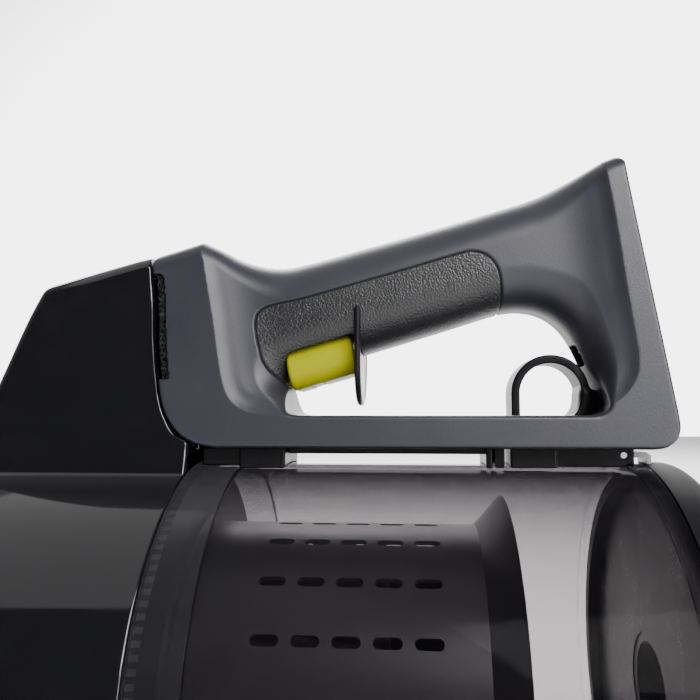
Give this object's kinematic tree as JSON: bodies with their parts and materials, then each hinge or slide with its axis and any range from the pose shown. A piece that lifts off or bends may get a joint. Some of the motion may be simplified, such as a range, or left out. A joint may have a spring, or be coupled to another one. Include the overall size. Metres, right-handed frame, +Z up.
{
  "type": "canister vacuum cleaner",
  "caption": "wheeled bagless canister vacuum: domed motor housing with fin, lift-off clear dust bin under a D-handle, hinged front lid with hose socket",
  "frame": {"origin": "on the floor, under the middle of the overall box", "axes": "+X towards the hose port, +Y to the left wheel, +Z up"},
  "size_m": [0.396, 0.238, 0.3382],
  "materials": {
    "rear_gloss": "high gloss black",
    "tray": "satin black",
    "handle": "fine-grained satin charcoal",
    "grip": "leather-grain rubber",
    "guard": "gloss black",
    "lime": "gloss lime green",
    "clear": "smoked clear polycarbonate",
    "shroud": "matte black",
    "grey_plastic": "light grey moulded",
    "seal": "soft black rubber",
    "foam": "open-cell black foam",
    "filter": "pleated white filter",
    "tyre": "soft black rubber tread",
    "steel": "brushed",
    "spring_steel": "drawn wire",
    "motor_metal": "grey plated",
    "copper": "enamelled winding",
    "board": "solder-masked board",
    "lid": "high gloss black",
    "pedal": "gloss black"
  },
  "bodies": {
    "chassis": {"base_tray": "tray", "cradle_pads": "seal", "rear_shell": "rear_gloss", "bulkhead": "tray", "port_gasket": "seal", "latch_catch": "steel", "exhaust_grille": "tray", "exhaust_filter": "filter", "cord_gland": "seal", "partition": "grey_plastic", "reel_axle": "steel", "motor_mounts": "seal", "motor_can": "motor_metal", "motor_field": "steel", "fan_cover": "motor_metal", "motor_bearings": "steel", "pedal_carrier": "grey_plastic", "control_board": "board", "wheel_axles": "steel", "power_pedal_spring": "spring_steel", "rewind_pedal_spring": "spring_steel"},
    "motor_rotor": {"motor_shaft": "steel", "armature": "copper", "fan_impeller": "motor_metal"},
    "reel": {"cord_reel": "grey_plastic"},
    "power_button": {"power_pedal": "pedal"},
    "rewind_button": {"rewind_pedal": "pedal"},
    "left_wheel": {"wheel_left": "tray", "tyre_left": "tyre", "hubcap_left": "rear_gloss"},
    "right_wheel": {"wheel_right": "tray", "tyre_right": "tyre", "hubcap_right": "rear_gloss"},
    "caster_swivel": {"caster_fork": "tray", "caster_axle": "steel"},
    "caster_roller": {"caster_wheel": "tyre"},
    "bin": {"bin_back": "shroud", "bin_collar": "clear", "bin_barrel": "clear", "lid_hinge_pin": "steel", "pre_filter": "foam", "cyclone_cones": "shroud", "cyclone_shroud": "shroud", "grip_pad": "grip", "handle_shell_left": "handle", "handle_shell_right": "handle", "vent_foam": "foam", "finger_guard": "guard", "lever_pins": "steel", "lever_springs": "spring_steel", "handle_saddle": "tray", "hook_pin": "steel"},
    "trigger_lever": {"trigger": "lime"},
    "bin_latch_slider": {"bin_latch": "grey_plastic"},
    "ring_lever": {"release_ring": "guard"},
    "lid_latch_hook": {"lid_latch": "grey_plastic"},
    "lid": {"lid_shell": "lid", "lid_liner": "shroud", "lid_seal": "seal", "hose_socket": "guard"}
  },
  "joints": [
    {"name": "bin_lift", "type": "slide", "parent": "chassis", "child": "bin", "axis": [0, 0, 1], "range_m": [0, 0.15]},
    {"name": "lid_hinge", "type": "hinge", "parent": "bin", "child": "lid", "pos_m": [0.155, 0, 0.0374], "axis": [0, 1, 0], "range_deg": [0, 75]},
    {"name": "trigger_pull", "type": "hinge", "parent": "bin", "child": "trigger_lever", "pos_m": [-0.006, 0, 0.252], "axis": [0, -1, 0], "range_deg": [0, 12], "stiffness_Nm_per_rad": 0.6, "springref_deg": -5.73},
    {"name": "bin_latch_slide", "type": "slide", "parent": "bin", "child": "bin_latch_slider", "axis": [1, 0, 0], "range_m": [0, 0.00599]},
    {"name": "ring_pull", "type": "hinge", "parent": "bin", "child": "ring_lever", "pos_m": [0.146, 0, 0.2425], "axis": [0, 1, 0], "range_deg": [0, 12], "stiffness_Nm_per_rad": 0.6, "springref_deg": -5.73},
    {"name": "lid_latch_swing", "type": "hinge", "parent": "bin", "child": "lid_latch_hook", "pos_m": [0.147, 0, 0.2213], "axis": [0, -1, 0], "range_deg": [0, 15]},
    {"name": "left_wheel_spin", "type": "hinge", "parent": "chassis", "child": "left_wheel", "pos_m": [-0.118, 0.107, 0.076], "axis": [0, 1, 0], "continuous": true},
    {"name": "right_wheel_spin", "type": "hinge", "parent": "chassis", "child": "right_wheel", "pos_m": [-0.118, -0.107, 0.076], "axis": [0, 1, 0], "continuous": true},
    {"name": "caster_turn", "type": "hinge", "parent": "chassis", "child": "caster_swivel", "pos_m": [0.112, 0, 0.03], "axis": [0, 0, 1], "continuous": true},
    {"name": "caster_roll", "type": "hinge", "parent": "caster_swivel", "child": "caster_roller", "pos_m": [0.103, 0, 0.0115], "axis": [0, 1, 0], "continuous": true},
    {"name": "power_press", "type": "slide", "parent": "chassis", "child": "power_button", "axis": [0, 0, -1], "range_m": [0, 0.004], "stiffness_N_per_m": 900, "springref_m": -0.002, "deforming": ["power_pedal_spring"]},
    {"name": "rewind_press", "type": "slide", "parent": "chassis", "child": "rewind_button", "axis": [0, 0, -1], "range_m": [0, 0.004], "stiffness_N_per_m": 900, "springref_m": -0.002, "deforming": ["rewind_pedal_spring"]},
    {"name": "motor_spin", "type": "hinge", "parent": "chassis", "child": "motor_rotor", "pos_m": [-0.08, 0, 0.13], "axis": [1, 0, 0], "continuous": true},
    {"name": "reel_spin", "type": "hinge", "parent": "chassis", "child": "reel", "pos_m": [-0.157, 0, 0.13], "axis": [1, 0, 0], "continuous": true}
  ],
  "couplings": [
    {"joint": "bin_latch_slide", "follows": "trigger_pull", "m_per_rad": 0.023825},
    {"joint": "lid_latch_swing", "follows": "ring_pull", "ratio": 1}
  ]
}
